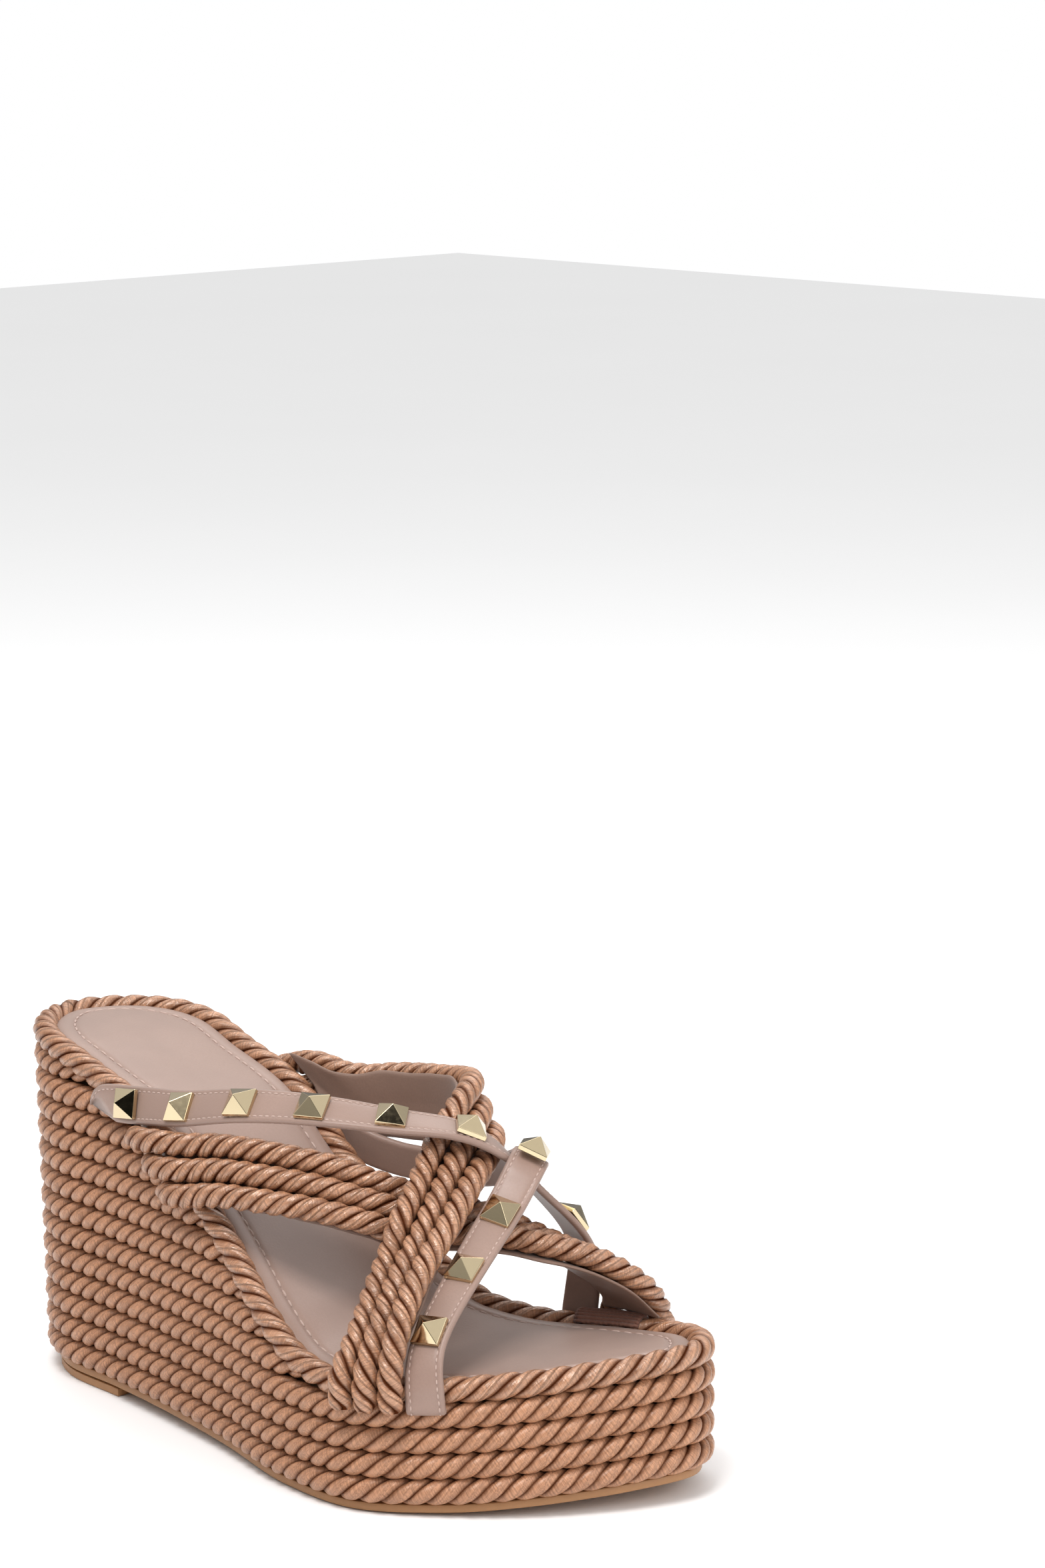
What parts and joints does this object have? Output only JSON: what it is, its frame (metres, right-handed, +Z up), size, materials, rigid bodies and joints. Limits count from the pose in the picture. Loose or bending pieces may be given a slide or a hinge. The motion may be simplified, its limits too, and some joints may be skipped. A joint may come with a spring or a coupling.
{
  "type": "wedge sandal",
  "caption": "Slip-on wedge sandal: rope-wrapped wedge, padded leather footbed, crossing rope bands and crossing leather straps with square pyramid studs. Right foot.",
  "frame": {"origin": "middle of the footprint's bounding box, on the ground", "axes": "+X heel to toe, +Y towards the inner side of the foot, +Z up"},
  "size_m": [0.238, 0.109, 0.1026],
  "materials": {
    "outsole_rubber": "matt gum rubber",
    "wedge_cork": "raw pressed cork",
    "braided_rope": "satin corded twist",
    "insole_fibreboard": "raw fibreboard",
    "footbed_foam": "soft foam",
    "taupe_leather": "soft matt grain",
    "lining_leather": "smooth matt",
    "pale_gold_metal": "bright pale gold plate",
    "ribbed_elastic": "ribbed woven"
  },
  "bodies": {
    "root": {"outsole": "outsole_rubber", "heel_lift": "outsole_rubber", "wedge_core": "wedge_cork", "wrap_rope_row_01": "braided_rope", "wrap_rope_row_02": "braided_rope", "wrap_rope_row_03": "braided_rope", "wrap_rope_row_04": "braided_rope", "wrap_rope_row_05": "braided_rope", "wrap_rope_row_06": "braided_rope", "wrap_rope_row_07": "braided_rope", "wrap_rope_row_08": "braided_rope", "wrap_rope_row_09": "braided_rope", "wrap_rope_row_10": "braided_rope", "wrap_rope_row_11": "braided_rope", "wrap_rope_row_12": "braided_rope", "wrap_rope_row_13": "braided_rope", "edge_rope": "braided_rope", "lateral_band_rope_1": "braided_rope", "lateral_band_rope_2": "braided_rope", "lateral_band_rope_3": "braided_rope", "medial_band_rope_1": "braided_rope", "medial_band_rope_2": "braided_rope", "medial_band_rope_3": "braided_rope", "insole_board": "insole_fibreboard", "footbed_padding": "footbed_foam", "footbed_sock": "taupe_leather", "lateral_band_lining": "lining_leather", "medial_band_lining": "lining_leather", "outer_rear_strap": "taupe_leather", "inner_rear_strap": "taupe_leather", "outer_rear_stud_1": "pale_gold_metal", "outer_rear_stud_2": "pale_gold_metal", "outer_rear_stud_3": "pale_gold_metal", "outer_rear_stud_4": "pale_gold_metal", "outer_rear_stud_5": "pale_gold_metal", "outer_rear_stud_6": "pale_gold_metal", "outer_rear_stud_7": "pale_gold_metal", "outer_rear_stud_8": "pale_gold_metal", "inner_rear_stud_1": "pale_gold_metal", "inner_rear_stud_2": "pale_gold_metal", "inner_rear_stud_3": "pale_gold_metal", "inner_rear_stud_4": "pale_gold_metal", "inner_rear_stud_5": "pale_gold_metal", "inner_rear_stud_6": "pale_gold_metal", "inner_rear_stud_7": "pale_gold_metal", "inner_front_elastic": "ribbed_elastic", "outer_front_elastic": "ribbed_elastic"}
  },
  "joints": []
}
